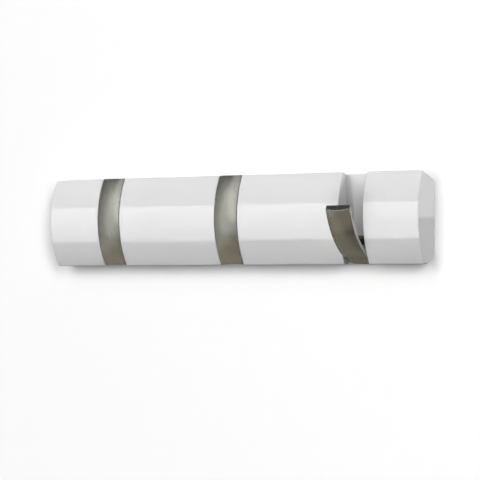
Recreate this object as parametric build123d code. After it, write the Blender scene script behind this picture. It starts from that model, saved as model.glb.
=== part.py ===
from build123d import *
import math
import os

# Wall-mounted rail with three flip-down hooks.
# Frame: X runs along the rail, +Y points into the wall and +Z is up.
# The origin is the centre of the rail's back, on the wall. Millimetres and degrees throughout.

# ---- Rail ---------------------------------------------------------------------------------
RAIL_LENGTH = 330.0
RAIL_HEIGHT = 72.0
RAIL_DEPTH = 35.0
FRONT_RADIUS = 63.0          # the bowed front is one arc about an axis along X
FRONT_CREST_Z = 2.2          # height of the foremost line of that arc
TOP_BACK_Z = 29.2            # the top falls away towards the wall
KNEE_Y = -16.0               # the underside is level in front of this knee
BOTTOM_BACK_Z = -30.4        # and rises from it towards the wall
SKIN = 3.0                   # wall thickness of the moulding
FRONT_CORNER_ROUND = 1.2
BACK_CORNER_ROUND = 3.5
KNEE_ROUND = 12.0
END_ROUND = 1.0

# ---- Slots, one per hook ------------------------------------------------------------------
HOOK_PITCH = 108.7
SLOT_WIDTH = 20.6
RECESS_DEPTH = 15.8          # from the front crest back to the recess floor
RECESS_BOTTOM_Z = -13.7      # below this the slot runs right through to the back plate
RECESS_FLOOR = 2.4           # thickness of the recess floor
SLOT_EDGE_ROUND = 0.5

# ---- Hook ---------------------------------------------------------------------------------
HOOK_WIDTH = 20.0
HOOK_EDGE_THICKNESS = 3.4
TIP_CROWN = 1.6              # how far the face bulges across its width, at the tip
HEEL_CROWN = 0.3             # and at the lower end
HOOK_SECTIONS = 7            # cross-sections that the blade is drawn through
HOOK_BOTTOM_Z = -35.2        # lower end of a closed hook
HOOK_EDGE_ROUND = 0.5
HOOK_HEEL_ROUND = 1.2
PIVOT_Y = -12.2
PIVOT_Z = -14.3
OPEN_ANGLE = 52.6
HUB_RADIUS = 4.0
HUB_WIDTH = 18.4
ARM_WIDTH = 10.0
ARM_TOP_Z = -14.5
ARM_FOOT_Z = -30.5           # where the arm's lower edge meets the blade
HEEL_LOW_Z = -25.5           # the heel's stop flat, with the hook open
HEEL_HIGH_Z = -21.5
RIGHT_HOOK_IS_OPEN = True

# ---- Pivot pin and what holds it ----------------------------------------------------------
PIN_RADIUS = 1.5
PIN_LENGTH = 39.4
PIN_CHAMFER = 0.3
RUNNING_CLEARANCE = 0.05     # radial, between hub bore and pin
SEAT_CLEARANCE = 0.02        # radial, between the pin and what clamps it
POST_WIDTH = 8.0             # along X, beside each slot wall
POST_HALF_HEIGHT = 11.5
STRAP_THICKNESS = 3.5
STRAP_WIDTH = 7.6
STRAP_SCREW_OFFSET = 7.5     # above and below the pin
STRAP_SCREW_LENGTH = 8.0
STRAP_SCREW_HEAD_RADIUS = 2.3
STRAP_SCREW_HEAD_HEIGHT = 1.6
WASHER_RADIUS = 4.0
WASHER_THICKNESS = 1.0

# ---- Back plate and its screws ------------------------------------------------------------
PLATE_THICKNESS = 1.2
PLATE_LENGTH = 326.0
PLATE_TOP_Z = 25.7
PLATE_BOTTOM_Z = -26.0
PLATE_CORNER_ROUND = 2.0
PLATE_GAP = 0.1              # around the plate in its rebate
PLATE_LEDGE = 2.5            # width of the ledge that the plate sits on
BOSS_RADIUS = 3.2
BOSS_Z = 20.5
BOSS_X = (54.35, 155.0)
PLATE_SCREW_LENGTH = 10.0
PLATE_SCREW_HEAD_RADIUS = 2.8
THREAD_RADIUS = 1.25         # of both kinds of screw
KEYHOLE_X = 145.0
KEYHOLE_ENTRY_RADIUS = 4.5
KEYHOLE_SLOT_RADIUS = 2.2
KEYHOLE_RISE = 8.0

# ---- Bumpers ------------------------------------------------------------------------------
CLOSED_BUMPER_THICKNESS = 0.7
OPEN_BUMPER_THICKNESS = 1.2
BUMPER_GAP = 0.1             # between a bumper and the hook that rests on it
CLOSED_BUMPER_WIDTH = 8.0
OPEN_BUMPER_WIDTH = 12.0

HALF_HEIGHT = RAIL_HEIGHT / 2
HALF_LENGTH = RAIL_LENGTH / 2
HALF_SLOT = SLOT_WIDTH / 2
ARC_CENTRE_Y = FRONT_RADIUS - RAIL_DEPTH
RECESS_FLOOR_Y = RECESS_DEPTH - RAIL_DEPTH
POST_INNER_X = HALF_SLOT + SKIN
POST_CENTRE_X = POST_INNER_X + POST_WIDTH / 2
BEYOND = 10.0                # how far a cutting solid runs past the face it opens
HOOK_X = {"left": -HOOK_PITCH, "middle": 0.0, "right": HOOK_PITCH}
ARC_AXIS = Axis((0, ARC_CENTRE_Y, FRONT_CREST_Z), (1, 0, 0))
PIVOT_AXIS = Axis((0, PIVOT_Y, PIVOT_Z), (1, 0, 0))


def arc_y(z, radius=FRONT_RADIUS):
    """Y of the front arc, or of one concentric with it, at height z."""
    return ARC_CENTRE_Y - math.sqrt(radius**2 - (z - FRONT_CREST_Z) ** 2)


def block(x_range, y_range, z_range):
    """Rectangular solid between three pairs of limits."""
    limits = (x_range, y_range, z_range)
    centre = [(low + high) / 2 for low, high in limits]
    return Pos(*centre) * Box(*[high - low for low, high in limits])


def rod_x(radius, length, y=PIVOT_Y, z=PIVOT_Z, x=0.0):
    """Cylinder along X, centred on (x, y, z)."""
    return Pos(x, y, z) * Rotation(0, 90, 0) * Cylinder(radius, length)


def rod_y(radius, y_front, y_back, x, z):
    """Cylinder along Y between two Y values."""
    middle = (y_front + y_back) / 2
    return Pos(x, middle, z) * Rotation(90, 0, 0) * Cylinder(radius, y_back - y_front)


def span_x(section, x_low, x_high):
    """A Y-Z section swept along X between two X values."""
    return extrude(Pos(x_low, 0, 0) * section, amount=x_high - x_low, dir=(1, 0, 0))


def group(solids):
    """Identical separate pieces kept together in one node."""
    return Compound(children=list(solids))


# ---- Rail body ----------------------------------------------------------------------------
def rail_section():
    """Outline of the rail: bowed front, falling top, rising underside, flat back."""
    top_front = (arc_y(HALF_HEIGHT), HALF_HEIGHT)
    bottom_front = (arc_y(-HALF_HEIGHT), -HALF_HEIGHT)
    with BuildSketch(Plane.YZ) as outline:
        with BuildLine():
            ThreePointArc(top_front, (-RAIL_DEPTH, FRONT_CREST_Z), bottom_front)
            Polyline(
                bottom_front,
                (KNEE_Y, -HALF_HEIGHT),
                (0, BOTTOM_BACK_Z),
                (0, TOP_BACK_Z),
                top_front,
            )
        make_face()
    return outline.sketch


def rounded_section():
    """The rail's outline with its long edges rounded."""
    corners = rail_section()
    back = corners.vertices().filter_by_position(Axis.Y, -1, 1)
    corners = fillet(back, BACK_CORNER_ROUND)
    knee = corners.vertices().filter_by_position(Axis.Y, KNEE_Y - 0.1, KNEE_Y + 0.1)
    corners = fillet(knee, KNEE_ROUND)
    front = corners.vertices().filter_by_position(Axis.Y, -RAIL_DEPTH, arc_y(-HALF_HEIGHT) + 0.1)
    return fillet(front, FRONT_CORNER_ROUND)


def hollow_section():
    """The space inside the skin, open at the back inside the plate's ledge."""
    inside = offset(rail_section(), amount=-SKIN)
    mouth_low = PLATE_BOTTOM_Z + PLATE_LEDGE
    mouth_high = PLATE_TOP_Z - PLATE_LEDGE
    mouth = Plane.YZ * Pos(-BEYOND / 2, (mouth_low + mouth_high) / 2)
    return inside + mouth * Rectangle(BEYOND, mouth_high - mouth_low)


def hollow_spans():
    """X limits of the four hollow blocks of the rail, between its ends and the slot walls."""
    walls = [-HALF_LENGTH + SKIN]
    for x in HOOK_X.values():
        walls += [x - HALF_SLOT - SKIN, x + HALF_SLOT + SKIN]
    walls.append(HALF_LENGTH - SKIN)
    return zip(walls[0::2], walls[1::2])


def slot_cut(x):
    """Recess behind a closed hook, and the slot under it that runs through to the back."""
    across = (x - HALF_SLOT, x + HALF_SLOT)
    front = -RAIL_DEPTH - BEYOND
    recess = block(across, (front, RECESS_FLOOR_Y), (RECESS_BOTTOM_Z, HALF_HEIGHT + BEYOND))
    through = block(across, (front, 1), (-HALF_HEIGHT - BEYOND, RECESS_BOTTOM_Z))
    return recess + through


def pocket_behind_recess(x, hollow):
    """Hollow between a recess floor and the back plate."""
    across = (x - HALF_SLOT, x + HALF_SLOT)
    behind = block(across, (RECESS_FLOOR_Y + RECESS_FLOOR, 1), (RECESS_BOTTOM_Z - 1, HALF_HEIGHT))
    return span_x(hollow, *across) & behind


def pin_slot(x):
    """Slot open to the back through both slot walls, in which the pin lies."""
    half_reach = POST_INNER_X + POST_WIDTH
    radius = PIN_RADIUS + SEAT_CLEARANCE
    seat = rod_x(radius, 2 * half_reach, x=x)
    way_in = block((x - half_reach, x + half_reach), (PIVOT_Y, 1), (PIVOT_Z - radius, PIVOT_Z + radius))
    return seat + way_in


def pin_posts(x):
    """Two posts beside a slot, from the front skin to the pin's centre."""
    posts = Part()
    for side in (-1, 1):
        centre = x + side * POST_CENTRE_X
        half_width = POST_WIDTH / 2
        posts += block(
            (centre - half_width, centre + half_width),
            (-RAIL_DEPTH, PIVOT_Y),
            (PIVOT_Z - POST_HALF_HEIGHT, PIVOT_Z + POST_HALF_HEIGHT),
        )
    return posts


def strap_screw_places(x):
    """X and Z of the four screws that hold one hook's two straps."""
    return [
        (x + side * POST_CENTRE_X, PIVOT_Z + level * STRAP_SCREW_OFFSET) for side in (-1, 1) for level in (-1, 1)
    ]


def plate_screw_places():
    """X and Z of the screws that hold the back plate."""
    return [(side * x, level * BOSS_Z) for x in BOSS_X for side in (-1, 1) for level in (-1, 1)]


def rail_body():
    """The one-piece moulding: bowed shell, end walls, slots, pin posts and screw bosses."""
    outer = span_x(rounded_section(), -HALF_LENGTH, HALF_LENGTH)
    ends = outer.faces().filter_by(Axis.X)
    outer = fillet(ends.edges(), END_ROUND)
    hollow = hollow_section()
    plate_seat = -PLATE_THICKNESS

    body = outer
    for x_low, x_high in hollow_spans():
        body -= span_x(hollow, x_low, x_high)
    inner_parts = Part()
    for x in HOOK_X.values():
        inner_parts += pin_posts(x)
    for x, z in plate_screw_places():
        inner_parts += rod_y(BOSS_RADIUS, -RAIL_DEPTH, plate_seat, x, z)
    body += inner_parts & outer

    body -= block(
        (-PLATE_LENGTH / 2 - PLATE_GAP, PLATE_LENGTH / 2 + PLATE_GAP),
        (plate_seat, 1),
        (PLATE_BOTTOM_Z - PLATE_GAP, PLATE_TOP_Z + PLATE_GAP),
    )
    for x in HOOK_X.values():
        body -= slot_cut(x)
        body -= pocket_behind_recess(x, hollow)
        body -= pin_slot(x)
        for screw_x, screw_z in strap_screw_places(x):
            depth = STRAP_SCREW_LENGTH - STRAP_THICKNESS + 1
            body -= rod_y(THREAD_RADIUS + SEAT_CLEARANCE, PIVOT_Y - depth, PIVOT_Y, screw_x, screw_z)
    for x, z in plate_screw_places():
        depth = PLATE_SCREW_LENGTH + 1
        body -= rod_y(THREAD_RADIUS + SEAT_CLEARANCE, plate_seat - depth, plate_seat, x, z)
    return fillet(slot_front_edges(body), SLOT_EDGE_ROUND)


def slot_front_edges(body):
    """The bowed edges where the slot walls meet the front."""
    walls = [x + side * HALF_SLOT for x in HOOK_X.values() for side in (-1, 1)]
    edges = body.edges().filter_by(GeomType.CIRCLE)
    found = ShapeList()
    for edge in edges:
        box = edge.bounding_box()
        on_wall = any(abs(box.min.X - x) < 0.01 and abs(box.max.X - x) < 0.01 for x in walls)
        if on_wall and abs(edge.radius - FRONT_RADIUS) < 0.01:
            found.append(edge)
    return found


# ---- Hook ---------------------------------------------------------------------------------
def turned_about_pivot(y, z, angle):
    """A Y-Z point turned about the pivot axis."""
    cosine = math.cos(math.radians(angle))
    sine = math.sin(math.radians(angle))
    dy = y - PIVOT_Y
    dz = z - PIVOT_Z
    return (PIVOT_Y + dy * cosine - dz * sine, PIVOT_Z + dy * sine + dz * cosine)


def blade_section(angle, crown):
    """Cross-section of the blade in the plane through the front arc's axis at an angle above level."""
    half_width = HOOK_WIDTH / 2
    back_radius = FRONT_RADIUS - HOOK_EDGE_THICKNESS
    outward = Vector(0, -math.cos(math.radians(angle)), math.sin(math.radians(angle)))
    upright = Vector(1, 0, 0).cross(outward)
    across = Plane(origin=(0, ARC_CENTRE_Y, FRONT_CREST_Z), x_dir=(1, 0, 0), z_dir=upright)
    with BuildSketch(across) as profile:
        with BuildLine():
            Polyline(
                (-half_width, FRONT_RADIUS),
                (-half_width, back_radius),
                (half_width, back_radius),
                (half_width, FRONT_RADIUS),
            )
            ThreePointArc(
                (half_width, FRONT_RADIUS),
                (0, FRONT_RADIUS + crown),
                (-half_width, FRONT_RADIUS),
            )
        make_face()
    return profile.sketch.face()


def hook_blade():
    """Crowned blade that carries on the rail's bowed front when closed. The crown fades towards the heel."""
    reach = FRONT_RADIUS - HOOK_EDGE_THICKNESS
    top_angle = math.degrees(math.asin((HALF_HEIGHT - FRONT_CREST_Z) / reach)) + 2
    bottom_angle = math.degrees(math.asin((HOOK_BOTTOM_Z - FRONT_CREST_Z) / reach)) - 2
    sections = []
    for index in range(HOOK_SECTIONS):
        share = index / (HOOK_SECTIONS - 1)
        angle = bottom_angle + share * (top_angle - bottom_angle)
        sections.append(blade_section(angle, HEEL_CROWN + share * (TIP_CROWN - HEEL_CROWN)))
    blade = loft(sections)
    for limits in ((HALF_HEIGHT, HALF_HEIGHT + BEYOND), (HOOK_BOTTOM_Z - BEYOND, HOOK_BOTTOM_Z)):
        blade -= block((-HOOK_WIDTH, HOOK_WIDTH), (-RAIL_DEPTH - BEYOND, 0), limits)
    lower_face = blade.faces().sort_by(Axis.Z)[0]
    lower_front = lower_face.edges().sort_by(Axis.Y)[0]
    blade = fillet(lower_front, HOOK_HEEL_ROUND)
    return fillet(blade.edges(), HOOK_EDGE_ROUND)


def hook_arm():
    """Flat arm from the blade to the hub, with a heel that stops the hook when open."""
    inside_blade = FRONT_RADIUS - HOOK_EDGE_THICKNESS / 2
    stop_y = -PLATE_THICKNESS - OPEN_BUMPER_THICKNESS - BUMPER_GAP
    with BuildSketch(Plane.YZ) as outline:
        with BuildLine():
            Polyline(
                (arc_y(ARM_TOP_Z, inside_blade), ARM_TOP_Z),
                (PIVOT_Y, ARM_TOP_Z),
                (PIVOT_Y + HUB_RADIUS * math.cos(math.radians(OPEN_ANGLE / 2)), PIVOT_Z - HUB_RADIUS / 2),
                turned_about_pivot(stop_y, HEEL_HIGH_Z, -OPEN_ANGLE),
                turned_about_pivot(stop_y, HEEL_LOW_Z, -OPEN_ANGLE),
                (arc_y(ARM_FOOT_Z, inside_blade), ARM_FOOT_Z),
                close=True,
            )
        make_face()
    return span_x(outline.sketch, -ARM_WIDTH / 2, ARM_WIDTH / 2)


def hook(x, is_open):
    """One hook: blade, arm and bored hub."""
    piece = hook_blade() + hook_arm() + rod_x(HUB_RADIUS, HUB_WIDTH)
    piece -= rod_x(PIN_RADIUS + RUNNING_CLEARANCE, HUB_WIDTH + 1)
    if is_open:
        piece = piece.rotate(PIVOT_AXIS, OPEN_ANGLE)
    return Pos(x, 0, 0) * piece


# ---- Small pieces beside each hook --------------------------------------------------------
def pivot_pin(x):
    """Steel pin with chamfered ends."""
    pin = rod_x(PIN_RADIUS, PIN_LENGTH)
    return Pos(x, 0, 0) * chamfer(pin.edges().filter_by(GeomType.CIRCLE), PIN_CHAMFER)


def friction_washers(x):
    """A washer at each end of the hub, which holds the hook where it is put."""
    middle = (HALF_SLOT + HUB_WIDTH / 2) / 2
    ring = rod_x(WASHER_RADIUS, WASHER_THICKNESS) - rod_x(PIN_RADIUS + SEAT_CLEARANCE, WASHER_THICKNESS + 1)
    return group(Pos(x + side * middle, 0, 0) * ring for side in (-1, 1))


def pin_straps(x):
    """Two straps that clamp the pin's ends on their posts."""
    half_width = STRAP_WIDTH / 2
    strap = block(
        (-half_width, half_width),
        (PIVOT_Y, PIVOT_Y + STRAP_THICKNESS),
        (PIVOT_Z - POST_HALF_HEIGHT, PIVOT_Z + POST_HALF_HEIGHT),
    )
    strap -= rod_x(PIN_RADIUS + SEAT_CLEARANCE, POST_WIDTH)
    for level in (-1, 1):
        z = PIVOT_Z + level * STRAP_SCREW_OFFSET
        strap -= rod_y(THREAD_RADIUS + 0.1, PIVOT_Y - 1, PIVOT_Y + STRAP_THICKNESS + 1, 0, z)
    return group(Pos(x + side * POST_CENTRE_X, 0, 0) * strap for side in (-1, 1))


def strap_screws(x):
    """Pan-head screws through the straps into their posts."""
    screws = []
    head_seat = PIVOT_Y + STRAP_THICKNESS
    for screw_x, screw_z in strap_screw_places(x):
        shank = rod_y(THREAD_RADIUS, head_seat - STRAP_SCREW_LENGTH, head_seat, screw_x, screw_z)
        head_back = head_seat + STRAP_SCREW_HEAD_HEIGHT
        head = rod_y(STRAP_SCREW_HEAD_RADIUS, head_seat, head_back, screw_x, screw_z)
        rim = head.edges().filter_by(GeomType.CIRCLE).sort_by(Axis.Y)[-1]
        head = fillet(rim, STRAP_SCREW_HEAD_HEIGHT / 3)
        screws.append(shank + head - cross_recess(screw_x, head_back, screw_z))
    return group(screws)


def cross_recess(x, y_mouth, z):
    """Cross-shaped drive recess in a screw head that faces +Y."""
    arm = 1.3
    half_width = 0.3
    depth = 0.8
    upright = block((x - half_width, x + half_width), (y_mouth - depth, y_mouth + 1), (z - arm, z + arm))
    level = block((x - arm, x + arm), (y_mouth - depth, y_mouth + 1), (z - half_width, z + half_width))
    return upright + level


def closed_bumper(x):
    """Elastomer strip under the recess floor that the arm meets when the hook is closed."""
    half_width = CLOSED_BUMPER_WIDTH / 2
    margin = 0.2
    return block(
        (x - half_width, x + half_width),
        (RECESS_FLOOR_Y + margin, RECESS_FLOOR_Y + RECESS_FLOOR - margin),
        (RECESS_BOTTOM_Z - CLOSED_BUMPER_THICKNESS, RECESS_BOTTOM_Z),
    )


def open_bumper(x):
    """Elastomer pad on the back plate that the heel meets when the hook is open."""
    half_width = OPEN_BUMPER_WIDTH / 2
    margin = 0.4
    return block(
        (x - half_width, x + half_width),
        (-PLATE_THICKNESS - OPEN_BUMPER_THICKNESS, -PLATE_THICKNESS),
        (PLATE_BOTTOM_Z + margin, HEEL_HIGH_Z + margin),
    )


# ---- Back plate ---------------------------------------------------------------------------
def countersink(x, z):
    """Countersunk hole right through the back plate."""
    cone = Cone(THREAD_RADIUS + 0.25, PLATE_SCREW_HEAD_RADIUS + SEAT_CLEARANCE, PLATE_THICKNESS)
    return Pos(x, -PLATE_THICKNESS / 2, z) * Rotation(-90, 0, 0) * cone


def keyhole(x):
    """Round entry for a wall screw's head, with a narrow slot above it for the shank."""
    entry = rod_y(KEYHOLE_ENTRY_RADIUS, -PLATE_THICKNESS - 1, 1, x, 0)
    end = rod_y(KEYHOLE_SLOT_RADIUS, -PLATE_THICKNESS - 1, 1, x, KEYHOLE_RISE)
    neck = block(
        (x - KEYHOLE_SLOT_RADIUS, x + KEYHOLE_SLOT_RADIUS),
        (-PLATE_THICKNESS - 1, 1),
        (0, KEYHOLE_RISE),
    )
    return entry + neck + end


def back_plate():
    """Steel plate let into the back, which hangs on two wall screws."""
    plate = block((-PLATE_LENGTH / 2, PLATE_LENGTH / 2), (-PLATE_THICKNESS, 0), (PLATE_BOTTOM_Z, PLATE_TOP_Z))
    plate = fillet(plate.edges().filter_by(Axis.Y), PLATE_CORNER_ROUND)
    for x, z in plate_screw_places():
        plate -= countersink(x, z)
    for side in (-1, 1):
        plate -= keyhole(side * KEYHOLE_X)
    return plate


def plate_screws():
    """Countersunk screws, flush with the back plate."""
    screws = []
    for x, z in plate_screw_places():
        head = Cone(THREAD_RADIUS, PLATE_SCREW_HEAD_RADIUS, PLATE_THICKNESS)
        head = Pos(x, -PLATE_THICKNESS / 2, z) * Rotation(-90, 0, 0) * head
        shank = rod_y(THREAD_RADIUS, -PLATE_THICKNESS - PLATE_SCREW_LENGTH, -PLATE_THICKNESS, x, z)
        screws.append(shank + head - cross_recess(x, 0, z))
    return group(screws)


def main():
    nodes = {"rail_body": rail_body(), "back_plate": back_plate(), "plate_screws": plate_screws()}
    for side, x in HOOK_X.items():
        nodes[f"hook_{side}"] = hook(x, RIGHT_HOOK_IS_OPEN and side == "right")
        nodes[f"pivot_pin_{side}"] = pivot_pin(x)
        nodes[f"friction_washers_{side}"] = friction_washers(x)
        nodes[f"pin_straps_{side}"] = pin_straps(x)
        nodes[f"strap_screws_{side}"] = strap_screws(x)
        nodes[f"closed_bumper_{side}"] = closed_bumper(x)
        nodes[f"open_bumper_{side}"] = open_bumper(x)
    os.makedirs("parts", exist_ok=True)
    for name, shape in nodes.items():
        export_step(shape, f"parts/{name}.step")


main()
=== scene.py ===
import math
import bpy
from mathutils import Matrix, Vector

# Looks, light and camera for the wall rail with three flip-down hooks. Metres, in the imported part's frame:
# X runs along the rail, +Y points into the wall, +Z is up and the origin is the centre of the back.

SIDES = ("left", "middle", "right")
MM = 0.001
NEUTRAL = (1.0, 1.0, 1.0)
WARM = (1.0, 0.88, 0.75)

# Camera: a long lens from the right of the rail and a little under it.
CAMERA_PLACE = Vector((678.8, -1363.6, -52.4)) * MM
CAMERA_TARGET = Vector((13.2, -35.0, -16.4)) * MM
CAMERA_LENS = 139.8
CAMERA_NEAR = 0.05
SENSOR_WIDTH = 36.0

# Room
WALL_GAP = 0.0004            # between the rail's back and the wall, so that the two faces never share a plane
WALL_SIZE = 6.0
WALL_TONE = 0.45
FLOOR_COLOUR = (0.60, 0.60, 0.59, 1.0)
FLOOR_SIZE = 12.0
FLOOR_DROP = 1.6

# Light. Each lamp is a soft rectangle aimed at the rail's middle. Its numbers are its bearing from straight
# ahead towards +X, its rise from level and the angles that it covers across and upright, all in degrees, and
# its radiance. The metal panels also have a colour.
ROOM_LAMPS = {
    "wall_far_right": (37, 10, 12.5, 25, 37.0),
    "wall_near_left": (-12, 10, 12.5, 25, 18.0),
    "wall_front": (0, 10, 12.5, 25, 9.5),
    "wall_front_high": (0, 35, 12.5, 25, 8.0),
    "wall_front_low": (0, -15, 12.5, 25, 11.0),
}
BODY_LAMPS = {
    "key": (-60, 25, 24, 24, 8.7),
    "key_high": (-60, 50, 24, 24, 3.0),
    "fill_low_left": (-15, -25, 24, 24, 5.0),
    "fill_low_right": (15, -25, 24, 24, 4.1),
    "fill_right": (45, 0, 24, 24, 3.1),
    "fill_high": (60, 60, 24, 24, 7.3),
    "end_rim": (110, 30, 24, 24, 7.0),
}
PAST_THE_HOOKS = ("key", "fill_right")    # no hook casts a shadow in these, so the face beside it stays even
METAL_PANELS = {
    "metal_broad": (-15, 15, 75, 75, 0.20, NEUTRAL),
    "metal_high": (-6, 32, 30, 75, 0.66, NEUTRAL),
    "metal_middle": (-22.5, 7.5, 30, 60, 0.44, NEUTRAL),
    "metal_left": (-52.5, 7.5, 60, 90, 0.22, NEUTRAL),
    "metal_low": (-18, -46, 70, 44, 0.29, WARM),
    "metal_right": (48, 10, 44, 90, 0.45, NEUTRAL),
    "metal_under": (180, -60, 100, 90, 0.17, WARM),
    "metal_above": (175, 55, 110, 80, 0.22, NEUTRAL),
    "metal_low_left": (-95, -50, 70, 50, 0.11, WARM),
}
LAMP_DISTANCE = 5.0                       # far, so that both ends of the rail are lit alike
METAL_PANEL_DISTANCE = 2.4
BACK_LAMP = (180, 25, 60, 45, 2.2)        # for the moulding's back
BACK_PANEL = (180, 10, 110, 100, 0.9)     # what the sheet metal and the screws at the back reflect
FLOOR_SUN = 4.2                           # watts per square metre, on the floor alone
FLOOR_SUN_SPREAD = 30                     # degrees
AMBIENT = 0.04                            # what the surfaces receive from the room
BACKDROP = 0.8                            # what a camera sees past the wall and floor

# Upright panels that only the gloss moulding reflects: centre, direction they stand in, width, height and
# radiance. The top and bottom edges of the front one are the two straight lines that run along the bowed
# front, and the bottom edge of the other one is the soft change of tone halfway down the end face.
GLOSS_PANELS = {
    "front_gloss": (Vector((-0.2, -1.5, -0.206)), (0, -1, 0), 3.0, 1.524, 3.45),
    "end_gloss": (Vector((0.744, 1.5, 0.559)), (0, 1, 0), 1.0, 1.0, 0.82),
}

# Materials. Tones are shares of white, and tints are shares of the tone in red, green and blue.
NOISE_MIDDLE = (0.3, 0.7)                 # where most of a noise texture's values lie
PLASTIC_TONE = (0.738, 0.758)
PLASTIC_ROUGHNESS = (0.02, 0.045)
PAINTED_SHADE_REACH = 0.030                     # how wide a gap still gets painted shade
PAINTED_SHADE_OPENNESS = (0.5, 1.0)             # openness values that count as full painted shade and as open
PAINTED_SHADE_HEIGHT = (-0.010, 0.018)          # heights between which the painted shade's tone changes
PAINTED_SHADE_TONE = (0.27, 0.57)               # tone of the painted shade: darker low down, lighter high up
STREAK_CONTRAST = 0.15                    # share of a metal's tone, at full grain
STREAK_DEPTH = 0.00002
WORN_TONE = 0.92                          # share of a metal's tone where it is most worn
WORN_PATCHES = (0.35, 0.75)               # noise values where wear starts and is full
WORN_SHARE = (0.0, 0.25)
METAL_ROUGHNESS = (0.85, 1.2)             # shares of a metal's own roughness
NICKEL_TINT = (1.03, 1.03, 0.91)
ZINC_TINT = (0.98, 1.0, 1.03)


# ---- Node helpers -------------------------------------------------------------------------
class Shader:
    """One node material on a Principled shader, with short calls for what is repeated."""

    def __init__(self, name, **sockets):
        self.material = bpy.data.materials.new(name)
        self.material.use_nodes = True
        self.tree = self.material.node_tree
        self.principled = self.tree.nodes["Principled BSDF"]
        for socket, value in sockets.items():
            self.principled.inputs[socket.replace("_", " ")].default_value = value

    def node(self, kind, **settings):
        made = self.tree.nodes.new(kind)
        for key, value in settings.items():
            setattr(made, key, value)
        return made

    def link(self, source, target):
        self.tree.links.new(source, target)

    def to_shader(self, source, socket):
        self.link(source, self.principled.inputs[socket])

    def place(self, stretch=(1.0, 1.0, 1.0)):
        """Position on the part in metres, scaled along each axis."""
        coordinates = self.node("ShaderNodeTexCoord")
        mapping = self.node("ShaderNodeMapping")
        mapping.inputs["Scale"].default_value = stretch
        self.link(coordinates.outputs["Object"], mapping.inputs["Vector"])
        return mapping.outputs["Vector"]

    def height(self, place):
        made = self.node("ShaderNodeSeparateXYZ")
        self.link(place, made.inputs["Vector"])
        return made.outputs["Z"]

    def noise(self, place, scale, detail=3.0, rough=0.5):
        made = self.node("ShaderNodeTexNoise")
        made.inputs["Scale"].default_value = scale
        made.inputs["Detail"].default_value = detail
        made.inputs["Roughness"].default_value = rough
        self.link(place, made.inputs["Vector"])
        return made.outputs["Fac"]

    def openness(self, reach):
        """1 on an open face, falling to 0 deep inside this piece's own slots and corners; the mask for
        painted shade.
        """
        made = self.node("ShaderNodeAmbientOcclusion", only_local=True, samples=8)
        made.inputs["Distance"].default_value = reach
        return made.outputs["AO"]

    def remap(self, source, from_range, to_range=(0.0, 1.0)):
        made = self.node("ShaderNodeMapRange")
        made.inputs["From Min"].default_value = from_range[0]
        made.inputs["From Max"].default_value = from_range[1]
        made.inputs["To Min"].default_value = to_range[0]
        made.inputs["To Max"].default_value = to_range[1]
        self.link(source, made.inputs["Value"])
        return made.outputs["Result"]

    def blend(self, factor, first, second):
        """Colour mix; each of the three is a value or a socket."""
        made = self.node("ShaderNodeMix", data_type="RGBA")
        colour_sockets = [socket for socket in made.inputs if socket.type == "RGBA"]
        for socket, value in zip([made.inputs[0], *colour_sockets], (factor, first, second)):
            if isinstance(value, bpy.types.NodeSocket):
                self.link(value, socket)
            else:
                socket.default_value = value
        return next(socket for socket in made.outputs if socket.type == "RGBA")

    def bump(self, height, strength, distance):
        made = self.node("ShaderNodeBump")
        made.inputs["Strength"].default_value = strength
        made.inputs["Distance"].default_value = distance
        self.link(height, made.inputs["Height"])
        return made.outputs["Normal"]


def grey(value, tint=NEUTRAL):
    return (*(value * part for part in tint), 1.0)


# ---- Materials ----------------------------------------------------------------------------
def white_plastic():
    """Gloss white moulding: slight tone drift, painted shade in slots and corners (darker low down), fine
    ripple and dull patches in the gloss.
    """
    shader = Shader("white_plastic", IOR=1.5)
    place = shader.place()
    drift = shader.noise(place, scale=18.0, detail=2.0)
    clean = shader.blend(shader.remap(drift, NOISE_MIDDLE), *(grey(tone) for tone in PLASTIC_TONE))
    # Painted shade: the base colour darkens inside slots and corners, more so low down.
    climb = shader.remap(shader.height(place), PAINTED_SHADE_HEIGHT)
    painted_shade = shader.blend(climb, *(grey(tone) for tone in PAINTED_SHADE_TONE))
    openness = shader.remap(shader.openness(PAINTED_SHADE_REACH), PAINTED_SHADE_OPENNESS)
    shader.to_shader(shader.blend(openness, painted_shade, clean), "Base Color")
    dull = shader.noise(place, scale=140.0, detail=4.0)
    shader.to_shader(shader.remap(dull, NOISE_MIDDLE, PLASTIC_ROUGHNESS), "Roughness")
    ripple = shader.noise(place, scale=260.0, detail=1.0)
    shader.to_shader(shader.bump(ripple, strength=0.05, distance=0.00005), "Normal")
    return shader.material


def brushed_metal(name, tone, tint, roughness, stretch, grain=0.35):
    """Brushed or ground metal. The grain runs along the axes that stretch shrinks."""
    shader = Shader(name, Metallic=1.0)
    fine = shader.noise(shader.place(stretch), scale=900.0, detail=5.0, rough=0.7)
    broad = shader.noise(shader.place(), scale=60.0, detail=3.0)
    contrast = STREAK_CONTRAST * grain
    dark, light = grey(tone * (1 - contrast), tint), grey(tone * (1 + contrast), tint)
    base = shader.blend(shader.remap(fine, NOISE_MIDDLE), dark, light)
    worn = shader.remap(broad, WORN_PATCHES, WORN_SHARE)
    shader.to_shader(shader.blend(worn, base, grey(tone * WORN_TONE, tint)), "Base Color")
    smooth, rough = (roughness * share for share in METAL_ROUGHNESS)
    shader.to_shader(shader.remap(fine, NOISE_MIDDLE, (smooth, rough)), "Roughness")
    shader.to_shader(shader.bump(fine, strength=grain * 0.3, distance=STREAK_DEPTH), "Normal")
    return shader.material


def washer_polymer():
    shader = Shader("washer_polymer", IOR=1.48)
    drift = shader.noise(shader.place(), scale=300.0)
    shader.to_shader(shader.blend(drift, (0.70, 0.68, 0.60, 1), (0.78, 0.76, 0.70, 1)), "Base Color")
    shader.to_shader(shader.remap(drift, NOISE_MIDDLE, (0.35, 0.5)), "Roughness")
    return shader.material


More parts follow.
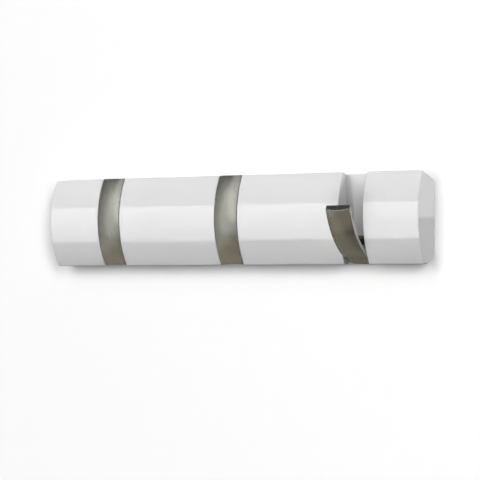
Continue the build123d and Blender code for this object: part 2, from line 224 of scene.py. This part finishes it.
def bumper_rubber():
    shader = Shader("bumper_rubber", IOR=1.45)
    speck = shader.noise(shader.place(), scale=900.0, detail=4.0)
    shader.to_shader(shader.blend(speck, (0.018, 0.018, 0.018, 1), (0.035, 0.034, 0.033, 1)), "Base Color")
    shader.to_shader(shader.remap(speck, NOISE_MIDDLE, (0.65, 0.85)), "Roughness")
    shader.to_shader(shader.bump(speck, strength=0.3, distance=0.00008), "Normal")
    return shader.material


def looks_by_node():
    """The material of every CAD node. Each metal gives its tone, tint, roughness and grain direction."""
    along_blade = (1.0, 0.06, 0.06)
    around_pin = (1.0, 0.1, 0.1)
    along_rail = (0.05, 1.0, 1.0)
    upright = (1.0, 1.0, 0.06)
    even = (1.0, 1.0, 1.0)
    nickel = brushed_metal("satin_nickel", 0.42, NICKEL_TINT, 0.24, along_blade)
    plate = brushed_metal("zinc_sheet", 0.62, ZINC_TINT, 0.38, along_rail)
    bright = brushed_metal("ground_pin", 0.70, NEUTRAL, 0.16, around_pin, grain=0.15)
    strap = brushed_metal("zinc_strap", 0.58, ZINC_TINT, 0.40, upright)
    screw = brushed_metal("zinc_screw", 0.66, ZINC_TINT, 0.28, even, grain=0.2)
    rubber = bumper_rubber()
    looks = {
        "rail_body": white_plastic(),
        "back_plate": plate,
        "plate_screws": screw,
    }
    per_hook = {
        "hook": nickel,
        "pivot_pin": bright,
        "friction_washers": washer_polymer(),
        "pin_straps": strap,
        "strap_screws": screw,
        "closed_bumper": rubber,
        "open_bumper": rubber,
    }
    for part, material in per_hook.items():
        for side in SIDES:
            looks[f"{part}_{side}"] = material
    return looks


def dress(nodes):
    """Gives every CAD node its material."""
    looks = looks_by_node()
    for name, node in nodes.items():
        node.data.materials.clear()
        node.data.materials.append(looks[name])


# ---- Room ---------------------------------------------------------------------------------
def pointed_along(direction):
    """Rotation that points a sheet's own Z, or a lamp's back, along a direction."""
    return Vector(direction).to_track_quat("Z", "Y").to_matrix().to_4x4()


def sheet(name, centre, size, facing, paint):
    """Square sheet that faces along a direction, and sends no light back to the part."""
    half = size / 2
    outline = [(-half, -half, 0), (half, -half, 0), (half, half, 0), (-half, half, 0)]
    mesh = bpy.data.meshes.new(name)
    mesh.from_pydata(outline, [], [(0, 1, 2, 3)])
    mesh.materials.append(paint)
    made = bpy.data.objects.new(name, mesh)
    made.matrix_world = Matrix.Translation(centre) @ pointed_along(facing)
    made.visible_diffuse = False
    made.visible_glossy = False
    bpy.context.scene.collection.objects.link(made)
    return made


def wall_paint():
    """White wall that can be seen only from the room, and lets light from behind reach the rail's back."""
    shader = Shader("wall_paint", Roughness=1.0, Specular_IOR_Level=0.0, Base_Color=grey(WALL_TONE))
    geometry = shader.node("ShaderNodeNewGeometry")
    path = shader.node("ShaderNodeLightPath")
    either = shader.node("ShaderNodeMath", operation="MAXIMUM")
    shader.link(geometry.outputs["Backfacing"], either.inputs[0])
    shader.link(path.outputs["Is Shadow Ray"], either.inputs[1])
    clear = shader.node("ShaderNodeBsdfTransparent")
    choose = shader.node("ShaderNodeMixShader")
    shader.link(either.outputs[0], choose.inputs[0])
    shader.link(shader.principled.outputs[0], choose.inputs[1])
    shader.link(clear.outputs[0], choose.inputs[2])
    output = shader.tree.nodes["Material Output"]
    shader.link(choose.outputs[0], output.inputs["Surface"])
    return shader.material


def floor_paint():
    return Shader("floor_paint", Roughness=0.8, Base_Color=FLOOR_COLOUR).material


# ---- Lamps --------------------------------------------------------------------------------
def area_light(name, width, height, radiance, diffuse=True, glossy=True):
    light = bpy.data.lights.new(name, "AREA")
    light.shape = "RECTANGLE"
    light.size = width
    light.size_y = height
    light.energy = radiance * math.pi * width * height
    lamp = bpy.data.objects.new(name, light)
    lamp.visible_camera = False
    lamp.visible_diffuse = diffuse
    lamp.visible_glossy = glossy
    bpy.context.scene.collection.objects.link(lamp)
    return lamp


def softbox(name, bearing, rise, across, upright, radiance, distance=LAMP_DISTANCE, **visibility):
    """Soft rectangular lamp aimed at the rail's middle."""
    turn, climb = math.radians(bearing), math.radians(rise)
    level = math.cos(climb)
    towards = Vector((math.sin(turn) * level, -math.cos(turn) * level, math.sin(climb)))
    width, height = (2 * distance * math.tan(math.radians(angle) / 2) for angle in (across, upright))
    lamp = area_light(name, width, height, radiance, **visibility)
    lamp.matrix_world = Matrix.Translation(towards * distance) @ pointed_along(towards)
    return lamp


def overhead_sun():
    light = bpy.data.lights.new("floor_sun", "SUN")
    light.energy = FLOOR_SUN
    light.angle = math.radians(FLOOR_SUN_SPREAD)
    sun = bpy.data.objects.new("floor_sun", light)
    bpy.context.scene.collection.objects.link(sun)
    return sun


def group(name, pieces):
    """A collection of the pieces that a lamp falls on, or that block it."""
    collection = bpy.data.collections.new(name)
    for piece in pieces:
        collection.objects.link(piece)
    return collection


def restrict(lamp, receivers, blockers):
    """Lets a lamp fall on some pieces only, and cast only some pieces' shadows."""
    lamp.light_linking.receiver_collection = receivers
    lamp.light_linking.blocker_collection = blockers


def light_room(wall, floor, part):
    for name, settings in ROOM_LAMPS.items():
        restrict(softbox(name, *settings, glossy=False), wall, part)
    restrict(overhead_sun(), floor, part)


def light_part(part, all_but_hooks):
    for name, settings in BODY_LAMPS.items():
        blockers = all_but_hooks if name in PAST_THE_HOOKS else part
        restrict(softbox(name, *settings, glossy=False), part, blockers)


def light_metal(hooks, part):
    """Panels that show only as reflections in the hooks."""
    for name, (*settings, colour) in METAL_PANELS.items():
        lamp = softbox(name, *settings, METAL_PANEL_DISTANCE, diffuse=False)
        lamp.data.color = colour
        restrict(lamp, hooks, part)


def light_back(fittings, part):
    restrict(softbox("back_lamp", *BACK_LAMP, glossy=False), part, part)
    restrict(softbox("back_panel", *BACK_PANEL, METAL_PANEL_DISTANCE), fittings, part)


def light_gloss(moulding, all_but_hooks):
    """Panels that show only as reflections in the moulding."""
    for name, (centre, facing, width, height, radiance) in GLOSS_PANELS.items():
        panel = area_light(name, width, height, radiance, diffuse=False)
        restrict(panel, moulding, all_but_hooks)
        panel.matrix_world = Matrix.Translation(centre) @ pointed_along(facing)


def lights(nodes, wall, floor):
    """Every lamp, each for its own pieces. The hooks stay out of the gloss of the moulding beside them."""
    body = nodes["rail_body"]
    hooks = [nodes[f"hook_{side}"] for side in SIDES]
    others = [node for node in nodes.values() if node not in hooks]
    for hook in hooks:
        hook.visible_glossy = False
    part = group("part", nodes.values())
    all_but_hooks = group("all_but_hooks", others)
    light_room(group("wall", [wall]), group("floor", [floor]), part)
    light_part(part, all_but_hooks)
    light_metal(group("metal", hooks), part)
    light_back(group("fittings", [node for node in others if node != body]), part)
    light_gloss(group("moulding", [body]), all_but_hooks)


def surroundings_light():
    """Dim even light on the surfaces, with a pale backdrop where the camera sees past the room."""
    world = bpy.data.worlds.new("room_light")
    bpy.context.scene.world = world
    world.use_nodes = True
    nodes, links = world.node_tree.nodes, world.node_tree.links
    path = nodes.new("ShaderNodeLightPath")
    strength = nodes.new("ShaderNodeMapRange")
    strength.inputs["To Min"].default_value = AMBIENT
    strength.inputs["To Max"].default_value = BACKDROP
    links.new(path.outputs["Is Camera Ray"], strength.inputs["Value"])
    background = nodes["Background"]
    background.inputs["Color"].default_value = grey(1.0)
    links.new(strength.outputs["Result"], background.inputs["Strength"])


# ---- Camera and size ----------------------------------------------------------------------
def camera():
    data = bpy.data.cameras.new("camera")
    data.lens = CAMERA_LENS
    data.sensor_width = SENSOR_WIDTH
    data.clip_start = CAMERA_NEAR
    view = bpy.data.objects.new("camera", data)
    aim = CAMERA_TARGET - CAMERA_PLACE
    view.matrix_world = Matrix.Translation(CAMERA_PLACE) @ aim.to_track_quat("-Z", "Y").to_matrix().to_4x4()
    bpy.context.scene.collection.objects.link(view)
    bpy.context.scene.camera = view


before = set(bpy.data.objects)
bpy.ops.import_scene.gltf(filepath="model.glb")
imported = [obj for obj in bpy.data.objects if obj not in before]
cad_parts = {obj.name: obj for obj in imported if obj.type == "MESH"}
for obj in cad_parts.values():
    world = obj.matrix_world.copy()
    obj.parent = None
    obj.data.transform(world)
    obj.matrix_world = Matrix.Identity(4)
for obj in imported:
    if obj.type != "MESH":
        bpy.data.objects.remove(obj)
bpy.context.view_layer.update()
dress(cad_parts)
wall = sheet("wall", (0, WALL_GAP, 0), WALL_SIZE, (0, -1, 0), wall_paint())
floor = sheet("floor", (0, 0, -FLOOR_DROP), FLOOR_SIZE, (0, 0, 1), floor_paint())
lights(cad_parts, wall, floor)
surroundings_light()
camera()
bpy.context.scene.view_settings.view_transform = "Standard"
# The light tree adds up wrongly when many lamps are each linked to their own pieces.
bpy.context.scene.cycles.use_light_tree = False
